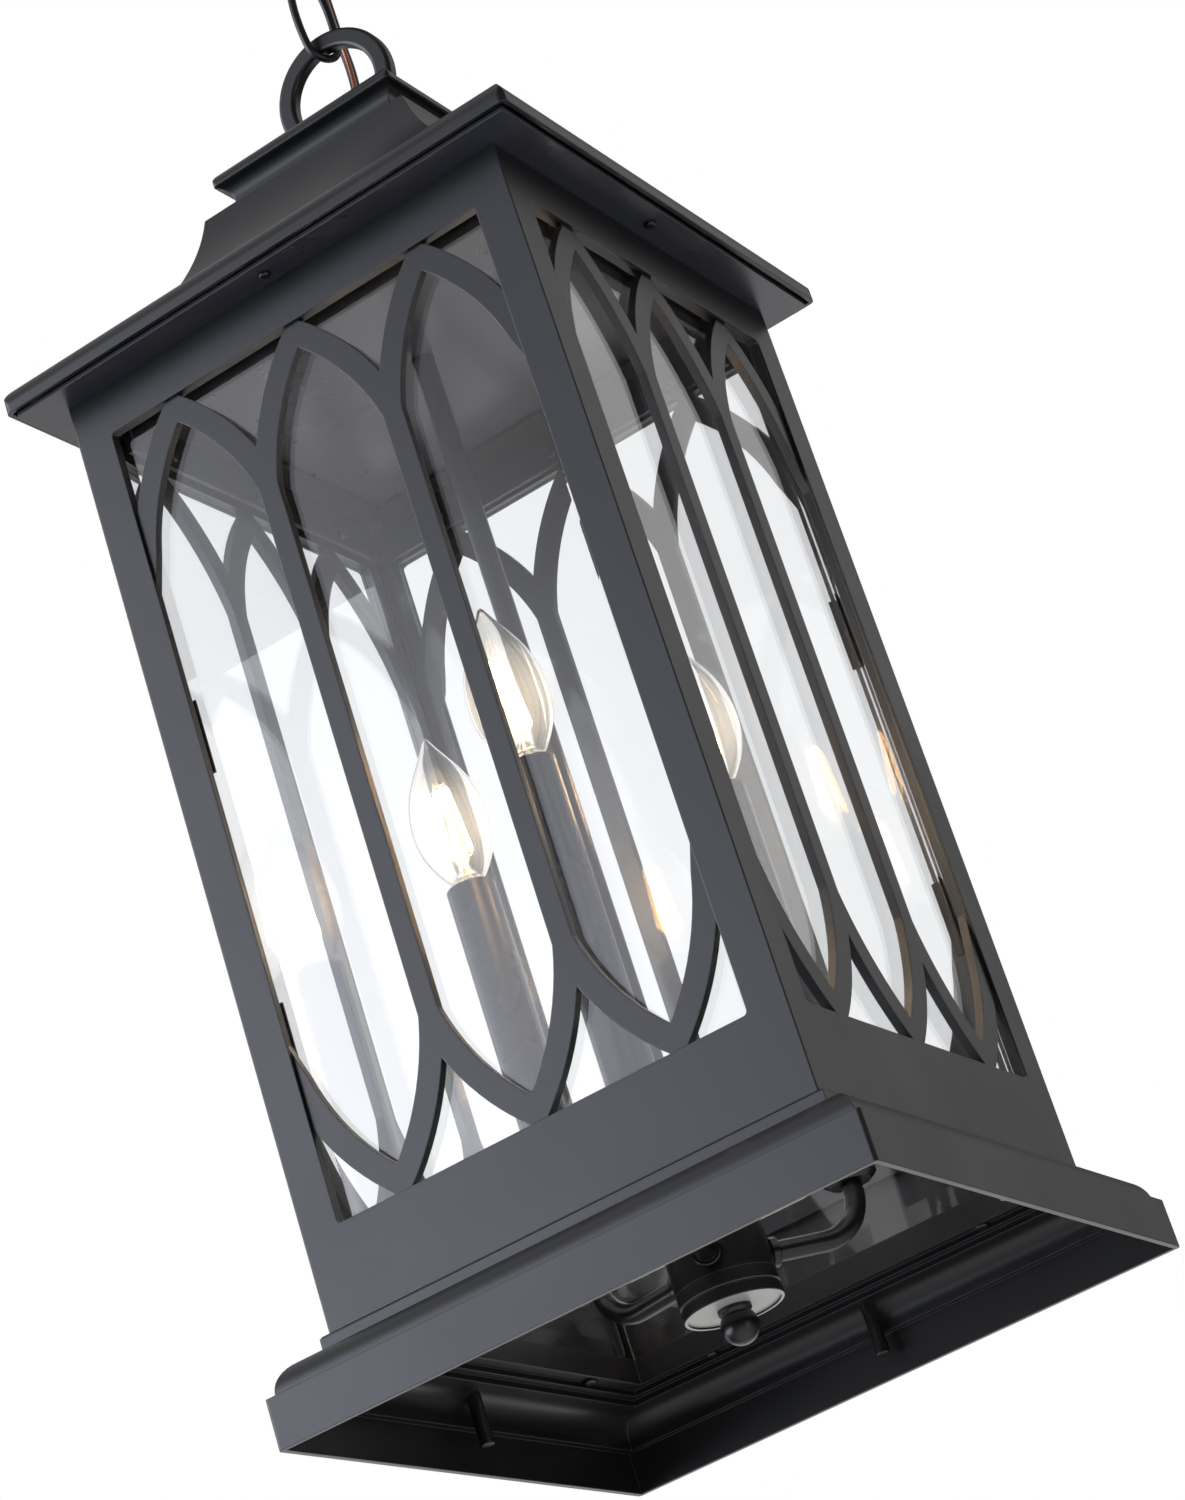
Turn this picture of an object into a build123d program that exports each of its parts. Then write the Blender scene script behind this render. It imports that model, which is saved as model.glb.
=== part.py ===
from build123d import *
import math
import os

# Outdoor hanging lantern: a square glazed body with arched grilles, a coved roof, a moulded base that is
# open underneath, and a three-candle lamp cluster, hung by a ring and two chain links from a ceiling canopy.
# Millimetres, +Z up. The origin is the centre of the ceiling face, and everything hangs below it.
# Heights in the lantern are measured from the body's lower edge, which lies BODY_DROP under the ceiling.

BODY_DROP = 745.0

# Body
BODY_HALF = 116.7
BODY_TOP = 438.3
FRAME_SHEET = 1.5
WINDOW_HALF = 99.2
WINDOW_LOW = 40.4
WINDOW_HIGH = 416.1
WINDOW_CORNER = 2.0

# Arched grille
GRILLE_THICK = 4.0
GRILLE_FRONT = BODY_HALF - FRAME_SHEET - 0.1
GRILLE_HALF = 107.8
GRILLE_BORDER = 8.0
LIGHT_PITCH = 66.5
LIGHT_HALF = 28.4
LIGHT_APEX = 404.3
LIGHT_SPRING = 352.4
ARCH_RADIUS = 113.0
STRIP_WIDTH = 10.9
SPANDREL_FILLET = 1.9

# Glass
GLASS_THICK = 3.0
GLASS_FRONT = GRILLE_FRONT - GRILLE_THICK - 0.9
GLASS_HALF = 105.6
GLASS_LOW = 5.8
GLASS_HIGH = 424.0
GLASS_BEVEL = 10.0
GLASS_BEVEL_DEPTH = 1.2

# Base moulding
BASE_HALF = 139.7
BASE_LOW = -41.8
SKIRT_HIGH = -20.4
OVOLO_RADIUS = 11.8
STEP_HALF = 119.9
STEP_LOW = -7.2
SKIRT_LEDGE = 3.4
OVOLO_GAP = 0.4
STEP_ROUND = 1.0
BASE_WALL = 2.4
BASE_CORNER = 1.6
BASE_HOLE_HALF = 106.2
BASE_SCREW_OUT = 110.0
BASE_SCREW_ALONG = 70.0
SCREW_HOLE = 1.75
PEG_PLACE = 128.0
PEG_RADIUS = 3.15
PEG_LOW = -33.0

# Roof
EAVE_HALF = 136.5
EAVE_LOW = 440.3
EAVE_ROUND = 9.0
COVE_RADIUS = 101.5
COVE_CENTRE = (155.3, 551.1)
ROOF_WALL = 2.3
ROOF_TOP = 527.5
PLATE_HALF = 133.2
PLATE_THICK = 2.0
SOFFIT_SCREW_PLACE = 125.0
CROWN_HALF = 50.9
CROWN_LOW = 544.8
CROWN_TOP = 551.8
NECK_HALF = 44.8
NECK_FOOT_HALF = 48.0
CROWN_ROUND = 6.2
CAVETTO_RADIUS = 7.0
STUD_RADIUS = 4.0
CORD_PLACE = (-2.5, 15.5)
GROUND_SHIFT = (1.6, -3.3)
BUSHING_PLACE = (CORD_PLACE[0] + GROUND_SHIFT[0] / 2, CORD_PLACE[1] + GROUND_SHIFT[1] / 2)
BUSHING_HOLE = 5.0

# Ring, chain and canopy
RING_OUTER = 31.6
RING_INNER = 22.6
RING_AXIAL = 7.0
RING_CENTRE = 588.6
LINK_WIRE = 3.8
LINK_BEND = 8.4
LINK_BEND_ANGLE = 80.0
LINK_REACH = 46.0
LINK_LOW = 608.4
LINK_TURN = 65.0
LINK_STEP = 4.15
LOOP_BAR = 4.5
LOOP_BEND = 9.75
LOOP_STEP = 4.5
CANOPY_HALF = 60.0
CANOPY_DEEP = 24.0
CANOPY_FLAT_HALF = 30.0
CANOPY_DOME_HALF = 52.0
CANOPY_RIM = 7.0
CANOPY_DOME_RADIUS = 40.0
CANOPY_CORD = 20.0
BOX_SCREW_SPACING = 79.4
BOX_SLOT = 14.0
BOX_SLOT_WIDTH = 4.4
CORD_WIDE = 4.6
GROUND_WIDE = 2.2
CORD_JOIN = 650.0

# Lamp cluster
CANDLE_RING = 66.7
CANDLE_ANGLES = (286.8, 46.8, 166.8)
ARM_HEIGHT = -5.8
ARM_TUBE = 9.0
ARM_BEND = 20.0
CUP_LOW = 16.5
SLEEVE_OUTER = 22.0
SLEEVE_TOP = 203.0
BULB_TIP = 278.0
BULB_WIDE = 35.4
BULB_SCREW_LOW = 176.0
BULB_COLLAR = 197.0
BULB_GLASS_LOW = 205.5
SOCKET_FLOOR = 168.0
SOCKET_TOP = 196.4
HUB_OUTER = 43.0
HUB_WALL = 2.0
HUB_LOW = -26.2
HUB_SPLIT = -14.7
HUB_TOP = 12.0
STEM_OUTER = 10.0
BALL_RADIUS = 8.1
BALL_HEIGHT = -33.2

SIDES = {"front": 0, "right": 90, "back": 180, "left": 270}
os.makedirs("parts", exist_ok=True)


def write(name, shape, lift=-BODY_DROP):
    """Write one node, moved from the lantern's own heights to its place under the ceiling."""
    solids = [s for s in shape.solids()]
    whole = solids[0] if len(solids) == 1 else Compound(children=solids)
    export_step(Pos(0, 0, lift) * whole, f"parts/{name}.step")


def tube(radius, low, high, x=0.0, y=0.0):
    """An upright round bar between two heights."""
    return Pos(x, y, (low + high) / 2) * Cylinder(radius, high - low)


def square_plan(outline, reach=200.0):
    """The solid of square plan whose half-width at each height is given by a half-profile outline."""
    half = make_face(outline)
    profile = half + mirror(half, about=Plane.YZ)
    along = extrude(Plane.XZ * profile, amount=reach, both=True)
    return along & (Rot(0, 0, 90) * along)


def post(half, low, high, corner):
    """A square post with rounded upright corners."""
    plan = RectangleRounded(2 * half, 2 * half, corner)
    return Pos(0, 0, low) * extrude(plan, amount=high - low)


def turned(points):
    """A solid of revolution about Z from a closed half-outline of (radius, height) points."""
    face = make_face(Polyline(*points, close=True))
    return revolve(Plane.XZ * face, axis=Axis.Z)


def upright_plate(sketch, front, thickness):
    """Extrude a front-view sketch (x, height) into a plate whose outer face lies at y = -front."""
    return extrude(Plane.XZ.offset(front) * sketch, amount=-thickness)


def around(shape, angles=(0, 90, 180, 270)):
    """The same shape turned about Z to each angle, as separate solids."""
    return Compound(children=[s for a in angles for s in (Rot(0, 0, a) * shape).solids()])


def screw(head_radius, head_high, shank_radius, shank_long):
    """A pan-head screw, head above z = 0 and shank below it, along Z."""
    head = Pos(0, 0, head_high / 2) * Cylinder(head_radius, head_high)
    head = fillet(head.edges().sort_by(Axis.Z)[-1:], 0.6 * head_high)
    slot = Pos(0, 0, head_high) * Box(0.9 * head_radius, 0.5, head_high)
    cross = Pos(0, 0, head_high) * Box(0.5, 0.9 * head_radius, head_high)
    return head - slot - cross + Pos(0, 0, -shank_long / 2) * Cylinder(shank_radius, shank_long)


# Side frames and grilles


def window():
    """The rounded window of a side, seen from the front."""
    high = WINDOW_HIGH - WINDOW_LOW
    plan = RectangleRounded(2 * WINDOW_HALF, high, WINDOW_CORNER)
    return Pos(0, WINDOW_LOW + high / 2) * plan


def side_frame():
    """A flat frame with mitred upright edges and a rounded window."""
    inner, outer = BODY_HALF - FRAME_SHEET, BODY_HALF
    gap = 0.06
    plan = Polyline(
        (-outer + gap, -outer), (outer - gap, -outer),
        (inner - gap, -inner), (-inner + gap, -inner), close=True,
    )
    blank = extrude(make_face(plan), amount=BODY_TOP - 0.1)
    opening = upright_plate(window(), BODY_HALF + 1, FRAME_SHEET + 2)
    return blank - opening


def light(centre, bow_left, bow_right):
    """One pointed light. A side that bows runs on past the arch's spring, out behind the stile."""
    mid = (WINDOW_LOW + WINDOW_HIGH) / 2
    drop = LIGHT_SPRING - 336.0
    wide = 33.8

    def flip(p):
        return (p[0], 2 * mid - p[1])

    def side(sign, bows):
        apex, spring = (centre, LIGHT_APEX), (centre + sign * LIGHT_HALF, LIGHT_SPRING)
        low_apex, low_spring = flip(apex), flip(spring)
        arcs = [
            RadiusArc(apex, spring, sign * ARCH_RADIUS),
            RadiusArc(low_apex, low_spring, -sign * ARCH_RADIUS),
        ]
        if not bows:
            return arcs + [Line(spring, low_spring)]
        out = (centre + sign * wide, LIGHT_SPRING - drop)
        return arcs + [Line(spring, out), Line(out, flip(out)), Line(flip(out), low_spring)]

    return make_face(side(-1, bow_left) + side(1, bow_right))


def arch_centre():
    """Offset and height of the arch circle's centre, from the light's centre line."""
    dx, dz = LIGHT_HALF, LIGHT_SPRING - LIGHT_APEX
    chord = math.hypot(dx, dz)
    away = math.sqrt(ARCH_RADIUS**2 - chord**2 / 4)
    return (dx / 2 + away * dz / chord, (LIGHT_SPRING + LIGHT_APEX) / 2 - away * dx / chord)


def spandrels():
    """The gaps over and under the arches: the window less the lights and their strips."""
    cx, cz = arch_centre()
    mid = (WINDOW_LOW + WINDOW_HIGH) / 2
    band_low, edge = LIGHT_SPRING - 4.0, 0.3
    band = Pos(0, (band_low + WINDOW_HIGH + edge) / 2) * Rectangle(
        2 * (WINDOW_HALF + edge), WINDOW_HIGH + edge - band_low
    )
    reach = ARCH_RADIUS + STRIP_WIDTH
    for i in (-1, 0, 1):
        right = Pos(i * LIGHT_PITCH + cx, cz) * Circle(reach)
        left = Pos(i * LIGHT_PITCH - cx, cz) * Circle(reach)
        band -= right & left
    gaps = [f for f in band.faces() if f.center().Y > LIGHT_SPRING + 12]
    gaps = [fillet(f.vertices(), SPANDREL_FILLET) for f in gaps]
    top = Sketch() + gaps
    return top, Pos(0, 2 * mid) * mirror(top, about=Plane.XZ)


def arch_grille():
    high = WINDOW_HIGH - WINDOW_LOW + 2 * GRILLE_BORDER
    blank = Pos(0, (WINDOW_LOW + WINDOW_HIGH) / 2) * Rectangle(2 * GRILLE_HALF, high)
    top, low = spandrels()
    for i in (-1, 0, 1):
        blank -= light(i * LIGHT_PITCH, i < 0, i > 0)
    blank = blank - top - low
    return upright_plate(blank, GRILLE_FRONT, GRILLE_THICK)


def glass_pane():
    """A clear pane with a wide bevel round its outer face."""
    mid, high = (GLASS_LOW + GLASS_HIGH) / 2, GLASS_HIGH - GLASS_LOW
    full = Pos(0, mid) * Rectangle(2 * GLASS_HALF, high)
    flat = Pos(0, mid) * Rectangle(2 * (GLASS_HALF - GLASS_BEVEL), high - 2 * GLASS_BEVEL)
    back = upright_plate(full, GLASS_FRONT - GLASS_BEVEL_DEPTH, GLASS_THICK - GLASS_BEVEL_DEPTH)
    seat = Plane.XZ.offset(GLASS_FRONT - GLASS_BEVEL_DEPTH) * full
    crest = Plane.XZ.offset(GLASS_FRONT) * flat
    return back + loft([seat.face(), crest.face()], ruled=True)


frame, grille, pane = side_frame(), arch_grille(), glass_pane()
for side_name, angle in SIDES.items():
    write(f"side_frame_{side_name}", Rot(0, 0, angle) * frame)
    write(f"arch_grille_{side_name}", Rot(0, 0, angle) * grille)
    write(f"glass_pane_{side_name}", Rot(0, 0, angle) * pane)

# Corner angles, glass clips and their screws, all inside the upright corners

ANGLE_OUTER = BODY_HALF - FRAME_SHEET - 0.15
ANGLE_LEG = 6.4
ANGLE_WALL = 1.5
CLIP_OUTER = GLASS_FRONT - GLASS_THICK - 0.1
CLIP_LEG = 6.6
CLIP_WALL = 1.0
CLIP_HIGH = 35.0
CLIP_SHANK = 1.0
CLIP_HEIGHTS = (124.0, 267.5)


def corner_l(outer, leg, wall, low, high):
    """An L section in the corner at +X, -Y, its outer faces at the given half-width."""
    whole = Box(leg, leg, high - low)
    cut = Pos(-wall, wall) * Box(leg, leg, high - low + 2)
    return Pos(outer - leg / 2, -outer + leg / 2, (low + high) / 2) * (whole - cut)


angle_low = GLASS_LOW + 0.2
write("corner_angles", around(corner_l(ANGLE_OUTER, ANGLE_LEG, ANGLE_WALL, angle_low, BODY_TOP - 0.3)))

clips, clip_screws = [], []
screw_place = Pos(CLIP_OUTER - CLIP_WALL - 0.3, -CLIP_OUTER + CLIP_WALL + 0.3)
for height in CLIP_HEIGHTS:
    clip = corner_l(CLIP_OUTER, CLIP_LEG, CLIP_WALL, height - CLIP_HIGH / 2, height + CLIP_HIGH / 2)
    place = Pos(0, 0, height) * screw_place * Rot(0, 0, -45) * Rot(0, -90, 0)
    bolt = place * screw(2.4, 1.6, CLIP_SHANK, 9.0)
    hole = place * Cylinder(CLIP_SHANK + 0.15, 30)
    clips.append(clip - hole)
    clip_screws.append(bolt - corner_l(ANGLE_OUTER, ANGLE_LEG, ANGLE_WALL, height - 9, height + 9) - clips[-1])
write("glass_clips", around(Compound(children=[s for c in clips for s in c.solids()])))
write("clip_screws", around(Compound(children=[c.solids().sort_by(SortBy.VOLUME)[-1] for c in clip_screws])))

# Rails that clamp the panes at the top, with their screws behind each light
RAIL_SCREW_HEIGHT = 421.0
RAIL_LONG = 192.0
PANE_BACK = GLASS_FRONT - GLASS_THICK
face_screw = Rot(-90, 0, 0) * screw(2.9, 2.0, 1.4, 4.0)
face_screws = [
    Pos(i * LIGHT_PITCH, 6.0 - PANE_BACK, RAIL_SCREW_HEIGHT) * face_screw for i in (-1, 0, 1)
]
rail = Pos(0, 4.9 - PANE_BACK, 426.0) * Box(RAIL_LONG, 2.0, 22.0)
rail += Pos(0, 10.9 - PANE_BACK, 436.0) * Box(RAIL_LONG, 14.0, 2.0)
for one in face_screws:
    rail -= one
write("glass_rails", around(rail))
write("glass_rail_screws", around(Compound(children=[x for one in face_screws for x in one.solids()])))

# Ledge that carries the panes
LEDGE_HALF = 104.0
ledge_solid = post(BODY_HALF - FRAME_SHEET - 0.15, 3.8, 5.6, 0.5) + post(LEDGE_HALF + 1.6, -6.0, 3.9, 0.5)
write("glass_ledge", ledge_solid - post(LEDGE_HALF, -10, 10, 0.5))

# Base moulding: step, quarter-round and skirt, open underneath


OVOLO_OUT = BASE_HALF - SKIRT_LEDGE
ovolo_high = STEP_LOW - OVOLO_GAP
outer_base = [
    Polyline((0, BASE_LOW), (BASE_HALF, BASE_LOW), (BASE_HALF, SKIRT_HIGH), (OVOLO_OUT, SKIRT_HIGH)),
    Line((OVOLO_OUT, SKIRT_HIGH), (OVOLO_OUT, ovolo_high - OVOLO_RADIUS)),
    RadiusArc((OVOLO_OUT, ovolo_high - OVOLO_RADIUS), (OVOLO_OUT - OVOLO_RADIUS, ovolo_high), -OVOLO_RADIUS),
    Polyline(
        (OVOLO_OUT - OVOLO_RADIUS, ovolo_high), (STEP_HALF, ovolo_high + 0.3),
        (STEP_HALF, -STEP_ROUND - 0.2), (STEP_HALF - STEP_ROUND, -0.1), (0, -0.1), (0, BASE_LOW),
    ),
]
hollow_out = OVOLO_OUT - BASE_WALL
hollow_high = ovolo_high - BASE_WALL
hollow_round = OVOLO_RADIUS - 2.2
skirt_in, skirt_top = BASE_HALF - BASE_WALL, SKIRT_HIGH - BASE_WALL
step_in, step_roof = BODY_HALF - 3.5, -4.6
hollow_base = [
    Polyline((0, BASE_LOW - 5), (skirt_in, BASE_LOW - 5), (skirt_in, skirt_top), (hollow_out, skirt_top)),
    Line((hollow_out, skirt_top), (hollow_out, hollow_high - hollow_round)),
    RadiusArc((hollow_out, hollow_high - hollow_round), (hollow_out - hollow_round, hollow_high), -hollow_round),
    Polyline(
        (hollow_out - hollow_round, hollow_high), (BODY_HALF + 0.5, hollow_high), (BODY_HALF + 0.5, STEP_LOW),
        (step_in, STEP_LOW), (step_in, step_roof), (0, step_roof), (0, BASE_LOW - 5),
    ),
]
base = square_plan(outer_base) & post(BASE_HALF, BASE_LOW - 1, 0, BASE_CORNER)
base = base - square_plan(hollow_base) - post(BASE_HOLE_HALF, -10, 5, 1.0)

base_screw = Rot(180, 0, 0) * screw(3.1, 1.9, 1.6, 4.0)
base_screws = []
for along in (-BASE_SCREW_ALONG, BASE_SCREW_ALONG):
    for side_turn in SIDES.values():
        place = Rot(0, 0, side_turn) * Pos(along, -BASE_SCREW_OUT)
        base -= place * tube(SCREW_HOLE, -9, 3)
        base_screws.append(place * Pos(0, 0, step_roof - 0.05) * base_screw)
write("base_moulding", base)
write("base_screws", Compound(children=[x for s in base_screws for x in s.solids()]))

peg = tube(PEG_RADIUS, PEG_LOW, hollow_high + 4, PEG_PLACE, 0)
peg = fillet(peg.edges().sort_by(Axis.Z)[:1], 0.7) - base
peg = peg.solids().sort_by(Axis.Z)[0]
write("base_pegs", around(peg))

# Roof: soffit plate, coved shell, crown cap

soffit = Pos(0, 0, BODY_TOP) * extrude(RectangleRounded(2 * PLATE_HALF, 2 * PLATE_HALF, 1.5), amount=PLATE_THICK)
soffit -= tube(STEM_OUTER / 2 + 0.3, BODY_TOP - 1, BODY_TOP + 4)
for turn in range(4):
    place = Rot(0, 0, 90 * turn) * Pos(SOFFIT_SCREW_PLACE, 0, BODY_TOP)
    soffit -= place * Cylinder(SCREW_HOLE, 8)
write("soffit_plate", soffit)
soffit_screw = Pos(SOFFIT_SCREW_PLACE, 0, BODY_TOP - 0.03) * Rot(180, 0, 0) * screw(2.7, 1.9, 1.6, 5.0)
write("soffit_screws", around(soffit_screw))


def cove_point(radius, half=None, height=None):
    """A point of the cove circle at a half-width or at a height."""
    cx, cz = COVE_CENTRE
    if half is not None:
        return (half, cz - math.sqrt(radius**2 - (cx - half) ** 2))
    return (cx - math.sqrt(radius**2 - (cz - height) ** 2), height)


eave_corner = cove_point(COVE_RADIUS, half=EAVE_HALF)
ledge_edge = cove_point(COVE_RADIUS, height=ROOF_TOP)
roof_face = make_face(
    [
        Polyline((0, EAVE_LOW), (EAVE_HALF, EAVE_LOW), eave_corner),
        RadiusArc(eave_corner, ledge_edge, COVE_RADIUS),
        Polyline(ledge_edge, (0, ROOF_TOP), (0, EAVE_LOW)),
    ]
)
eave_vertex = [v for v in roof_face.vertices() if abs(v.Y - eave_corner[1]) < 0.01 and v.X > 1]
roof_face = fillet(eave_vertex, EAVE_ROUND)
ledge_vertex = [v for v in roof_face.vertices() if abs(v.Y - ROOF_TOP) < 0.01 and v.X > 1]
roof_face = fillet(ledge_vertex, 0.9)
inner_corner = cove_point(COVE_RADIUS + ROOF_WALL, half=EAVE_HALF - ROOF_WALL)
inner_top = cove_point(COVE_RADIUS + ROOF_WALL, height=ROOF_TOP - ROOF_WALL)
roof_hollow = [
    Polyline((0, EAVE_LOW - 5), (EAVE_HALF - ROOF_WALL, EAVE_LOW - 5), inner_corner),
    RadiusArc(inner_corner, inner_top, COVE_RADIUS + ROOF_WALL),
    Polyline(inner_top, (0, inner_top[1]), (0, EAVE_LOW - 5)),
]
roof = square_plan(roof_face.edges()) & post(EAVE_HALF, EAVE_LOW - 1, ROOF_TOP + 1, 3.0)
roof = roof - square_plan(roof_hollow)
for drill in (tube(STUD_RADIUS + 0.1, 500, 560), tube(BUSHING_HOLE, 500, 560, *BUSHING_PLACE)):
    roof -= drill
write("roof_shell", roof)

neck_top = CROWN_LOW - 0.4 - CAVETTO_RADIUS
cavetto_rest = 1.7
cavetto_end = NECK_HALF + CAVETTO_RADIUS - cavetto_rest
cavetto_high = neck_top + math.sqrt(CAVETTO_RADIUS**2 - cavetto_rest**2)
cap_face = make_face(
    [
        Polyline(
            (0, ROOF_TOP + 0.1), (NECK_FOOT_HALF, ROOF_TOP + 0.1), (NECK_FOOT_HALF, ROOF_TOP + 1.6),
            (NECK_HALF + 0.6, ROOF_TOP + 3.4), (NECK_HALF, ROOF_TOP + 4.6), (NECK_HALF, neck_top),
        ),
        RadiusArc((NECK_HALF, neck_top), (cavetto_end, cavetto_high), CAVETTO_RADIUS),
        Polyline(
            (cavetto_end, cavetto_high), (CROWN_HALF, CROWN_LOW), (CROWN_HALF, CROWN_TOP), (0, CROWN_TOP),
            (0, ROOF_TOP + 0.1),
        ),
    ]
)
crown_vertex = [v for v in cap_face.vertices() if abs(v.Y - CROWN_TOP) < 0.01 and v.X > 1]
cap_face = fillet(crown_vertex, CROWN_ROUND)
cap = square_plan(cap_face.edges()) & post(CROWN_HALF, 500, 600, 2.0)
cap -= post(NECK_HALF - 3.0, 500, CROWN_TOP - 3.0, 2.0)
for drill in (tube(STUD_RADIUS + 0.1, 500, 560), tube(BUSHING_HOLE, 500, 560, *BUSHING_PLACE)):
    cap -= drill
write("crown_cap", cap)

# Hanging ring, collar, nut and cord bushing

ring_section = RectangleRounded(RING_OUTER - RING_INNER, RING_AXIAL, 1.8)
ring_section = Plane.XY * Pos((RING_OUTER + RING_INNER) / 2, 0) * ring_section
ring = Pos(0, 0, RING_CENTRE) * Rot(90, 0, 0) * revolve(Plane.XZ * ring_section, axis=Axis.Z)
ring_foot = RING_CENTRE - RING_OUTER
ring += tube(STUD_RADIUS, 512.0, ring_foot + 3.0)
write("hanging_ring", ring)
collar_bore, collar_foot, collar_head = STUD_RADIUS + 0.15, CROWN_TOP + 0.05, ring_foot - 0.4
collar = turned(
    (
        (collar_bore, collar_foot), (6.5, collar_foot), (6.5, CROWN_TOP + 2.6), (5.6, collar_head),
        (collar_bore, collar_head),
    )
)
write("ring_collar", collar)


def nut(flats, high, bore):
    """A hexagon nut, its lower face at z = 0."""
    hexagon = extrude(RegularPolygon(flats / 2, 6, major_radius=False), amount=high)
    return hexagon - tube(bore, -1, high + 1)


write("ring_lock_nut", Pos(0, 0, ROOF_TOP - ROOF_WALL - 5.1) * nut(13.0, 5.0, STUD_RADIUS + 0.1))
write("stem_lock_nut", Pos(0, 0, BODY_TOP + 2.05) * nut(16.0, 4.0, STEM_OUTER / 2 + 0.1))

bushing_body, bushing_foot, bushing_head = BUSHING_HOLE - 0.1, CROWN_TOP + 0.05, CROWN_TOP + 4.0
bushing = turned(
    (
        (0, 540), (bushing_body, 540), (bushing_body, bushing_foot), (7.0, bushing_foot), (7.0, CROWN_TOP + 1.2),
        (5.2, bushing_head), (0, bushing_head),
    )
)
write("cord_bushing", Pos(*BUSHING_PLACE) * bushing)

# Chain links


def link(bottom):
    """An upright oval link in the X-Z plane, by its lowest wire centre.

    Two end arcs of LINK_BEND and two long side arcs meet with one tangent, LINK_BEND_ANGLE from the end."""
    bend, turn, middle = LINK_BEND, math.radians(LINK_BEND_ANGLE), bottom + LINK_REACH / 2
    rise = bend * (1 - math.cos(turn))
    side_radius = (LINK_REACH / 2 - rise) / math.cos(turn)
    half = side_radius - (side_radius - bend) * math.sin(turn)
    x, low, high = bend * math.sin(turn), bottom + rise, bottom + LINK_REACH - rise
    path = [
        ThreePointArc((-x, 0, high), (-half, 0, middle), (-x, 0, low)),
        ThreePointArc((-x, 0, low), (0, 0, bottom), (x, 0, low)),
        ThreePointArc((x, 0, low), (half, 0, middle), (x, 0, high)),
        ThreePointArc((x, 0, high), (0, 0, bottom + LINK_REACH), (-x, 0, high)),
    ]
    solid = None
    for piece in path:
        end = Plane(origin=piece @ 0, z_dir=piece % 0)
        run = sweep(end * Circle(LINK_WIRE / 2), path=piece)
        solid = run if solid is None else solid + run
    return solid


link_high = LINK_LOW + LINK_REACH - LINK_STEP
write("chain_link_lower", Rot(0, 0, LINK_TURN) * link(LINK_LOW))
write("chain_link_upper", link(link_high))

# Canopy, its loop and what holds them

loop_low = link_high + LINK_REACH - LOOP_STEP
loop_centre = loop_low + LOOP_BEND
canopy_low = BODY_DROP - CANOPY_DEEP
loop = Pos(0, 0, loop_centre) * Rot(0, 90, 0) * Torus(LOOP_BEND, LOOP_BAR / 2)
loop += tube(4.6, loop_centre + LOOP_BEND - 0.5, BODY_DROP - 3.0)
loop += tube(6.4, loop_centre + LOOP_BEND, loop_centre + LOOP_BEND + 2.4)
write("canopy_loop", loop)
collar_low = loop_centre + LOOP_BEND + 2.5
screw_collar = tube(8.6, collar_low, canopy_low - 0.05) - tube(4.7, collar_low - 1, canopy_low + 1)
screw_collar = fillet(screw_collar.edges().filter_by(GeomType.CIRCLE).sort_by(SortBy.RADIUS)[-2:], 0.9)
write("screw_collar", screw_collar)

rim_low = BODY_DROP - CANOPY_RIM
canopy_face = make_face(
    [
        Polyline((0, canopy_low), (CANOPY_FLAT_HALF, canopy_low)),
        RadiusArc((CANOPY_FLAT_HALF, canopy_low), (CANOPY_DOME_HALF, rim_low), CANOPY_DOME_RADIUS),
        Polyline(
            (CANOPY_DOME_HALF, rim_low), (CANOPY_HALF, rim_low), (CANOPY_HALF, BODY_DROP), (0, BODY_DROP),
            (0, canopy_low),
        ),
    ]
)
canopy_vertex = [v for v in canopy_face.vertices() if v.X > CANOPY_HALF - 1 and v.Y < BODY_DROP - 1]
canopy_face = fillet(canopy_vertex, 5.0)
canopy = square_plan(canopy_face.edges()) & post(CANOPY_HALF, canopy_low - 1, BODY_DROP + 1, 3.0)
canopy -= post(28.0, canopy_low + 1.6, BODY_DROP + 5, 3.0) + post(50.0, BODY_DROP - 5.4, BODY_DROP + 5, 2.0)
canopy -= post(39.0, BODY_DROP - 14.0, BODY_DROP + 5, 3.0)
canopy -= tube(4.9, canopy_low - 1, canopy_low + 3)
canopy_bushing_place = (GROUND_SHIFT[0] / 2, CANOPY_CORD + GROUND_SHIFT[1] / 2)
canopy -= tube(BUSHING_HOLE, canopy_low - 1, canopy_low + 3, *canopy_bushing_place)
write("canopy", canopy)
bushing_lip = canopy_low - 0.05
canopy_bushing = turned(
    (
        (0, canopy_low - 2.5), (5.4, canopy_low - 2.5), (6.8, canopy_low - 1.0), (6.8, bushing_lip),
        (bushing_body, bushing_lip), (bushing_body, canopy_low + 4.0), (0, canopy_low + 4.0),
    )
)
write("canopy_bushing", Pos(*canopy_bushing_place) * canopy_bushing)

crossbar = Pos(0, 0, BODY_DROP - 1.25) * Box(98.0, 20.0, 2.5)
for sign in (-1, 1):
    crossbar -= Pos(sign * BOX_SCREW_SPACING / 2, 0, BODY_DROP - 5) * extrude(
        SlotOverall(BOX_SLOT, BOX_SLOT_WIDTH), amount=10
    )
boss = tube(8.0, BODY_DROP - 11.0, BODY_DROP - 2.5) - tube(4.7, BODY_DROP - 12.0, BODY_DROP - 2.5)
write("ceiling_crossbar", crossbar + boss)

# Supply cord and ground wire, in two stretches that meet beside the chain


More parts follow.
